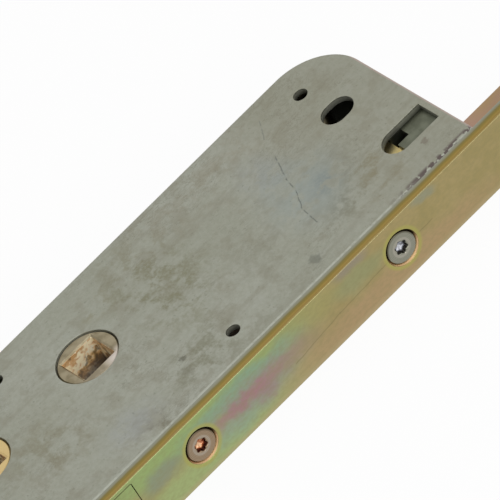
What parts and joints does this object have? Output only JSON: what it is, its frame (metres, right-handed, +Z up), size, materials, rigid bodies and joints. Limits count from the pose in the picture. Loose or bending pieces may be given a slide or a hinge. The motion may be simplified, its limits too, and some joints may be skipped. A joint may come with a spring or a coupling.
{
  "type": "multipoint door lock",
  "caption": "Multipoint door lock: a long faceplate with a mortice case, twin spindle followers, a latch, a deadbolt, swinging hooks and rollers driven by sliding rails.",
  "frame": {"origin": "on the upper spindle follower's axis, halfway through the lock's thickness", "axes": "+X points out of the door's edge, square to the faceplate; +Z points up along the faceplate; -Y points out of the case's near side, the one with the cover plate"},
  "size_m": [0.0662, 0.0136, 0.79],
  "materials": {
    "case_zinc": "dull grey zinc plate with brown stains",
    "yellow_zinc": "yellow passivated zinc plate with green and mauve streaks",
    "rail_zinc": "yellow passivated zinc plate, mauve to gold-brown",
    "follower_zinc": "bright cast zinc with a gold tint",
    "screw_steel": "satin plated steel",
    "bolt_steel": "satin nickel plate",
    "spring_steel": "oiled spring steel"
  },
  "bodies": {
    "lock_case": {"faceplate": "yellow_zinc", "case_body": "case_zinc", "case_cover": "case_zinc", "case_pillars": "follower_zinc", "screw_blocks": "case_zinc", "top_block": "case_zinc", "stop_plate": "yellow_zinc", "latch_insert": "yellow_zinc", "case_screws": "screw_steel", "housing_screws": "screw_steel", "detent_spring": "spring_steel", "detent_post": "case_zinc", "bolt_guide_pin": "case_zinc", "catch_pivot": "case_zinc", "latch_spring": "spring_steel", "rail_guides": "follower_zinc", "upper_hook_housing": "case_zinc", "upper_hook_cover": "case_zinc", "upper_hook_pivot": "case_zinc", "lower_hook_housing": "case_zinc", "lower_hook_cover": "case_zinc", "lower_hook_pivot": "case_zinc"},
    "drive_rails": {"drive_slide": "rail_zinc", "bolt_drive_pin": "bolt_steel", "upper_rail": "rail_zinc", "lower_rail": "rail_zinc", "rail_rivets": "case_zinc", "roller_pins": "bolt_steel"},
    "upper_follower": {"upper_follower": "follower_zinc", "follower_segment": "rail_zinc"},
    "lower_follower": {"lower_follower": "follower_zinc", "follower_arm": "rail_zinc"},
    "upper_hook": {"upper_hook": "bolt_steel", "upper_hook_pinions": "bolt_steel"},
    "lower_hook": {"lower_hook": "bolt_steel", "lower_hook_pinions": "bolt_steel"},
    "latch": {"latch_bolt": "bolt_steel", "latch_tail": "rail_zinc"},
    "deadbolt": {"deadbolt": "bolt_steel"},
    "locking_catch": {"locking_catch": "rail_zinc", "catch_stud": "bolt_steel"},
    "upper_roller": {"upper_roller": "screw_steel"},
    "lower_roller": {"lower_roller": "screw_steel"}
  },
  "joints": [
    {"name": "rail_slide", "type": "slide", "parent": "lock_case", "child": "drive_rails", "axis": [0, 0, 1], "range_m": [0, 0.016], "deforming": ["detent_spring"]},
    {"name": "upper_follower_turn", "type": "hinge", "parent": "lock_case", "child": "upper_follower", "pos_m": [0, 0, 0], "axis": [0, -1, 0], "range_deg": [0, 45.84]},
    {"name": "upper_hook_swing", "type": "hinge", "parent": "lock_case", "child": "upper_hook", "pos_m": [0.014, 0, 0.28], "axis": [0, -1, 0], "range_deg": [0, 90]},
    {"name": "lower_hook_swing", "type": "hinge", "parent": "lock_case", "child": "lower_hook", "pos_m": [0.014, 0, -0.33], "axis": [0, -1, 0], "range_deg": [0, 90]},
    {"name": "deadbolt_throw", "type": "slide", "parent": "lock_case", "child": "deadbolt", "axis": [1, 0, 0], "range_m": [0, 0.02]},
    {"name": "latch_slide", "type": "slide", "parent": "lock_case", "child": "latch", "axis": [-1, 0, 0], "range_m": [0, 0.012], "stiffness_N_per_m": 400, "springref_m": -0.01, "deforming": ["latch_spring"]},
    {"name": "lower_follower_turn", "type": "hinge", "parent": "lock_case", "child": "lower_follower", "pos_m": [0, 0, -0.03], "axis": [0, 1, 0], "range_deg": [0, 44.06]},
    {"name": "catch_turn", "type": "hinge", "parent": "lock_case", "child": "locking_catch", "pos_m": [0.018, 0, -0.105], "axis": [0, 1, 0], "range_deg": [0, 12]},
    {"name": "upper_roller_spin", "type": "hinge", "parent": "drive_rails", "child": "upper_roller", "pos_m": [0.0394, 0, 0.165], "axis": [1, 0, 0], "continuous": true},
    {"name": "lower_roller_spin", "type": "hinge", "parent": "drive_rails", "child": "lower_roller", "pos_m": [0.0394, 0, -0.212], "axis": [1, 0, 0], "continuous": true}
  ],
  "couplings": [
    {"joint": "upper_follower_turn", "follows": "rail_slide", "rad_per_m": 50},
    {"joint": "upper_hook_swing", "follows": "rail_slide", "rad_per_m": 98.175},
    {"joint": "lower_hook_swing", "follows": "rail_slide", "rad_per_m": 98.175},
    {"joint": "deadbolt_throw", "follows": "rail_slide", "ratio": 1.25},
    {"joint": "lower_follower_turn", "follows": "latch_slide", "rad_per_m": 64.066}
  ]
}
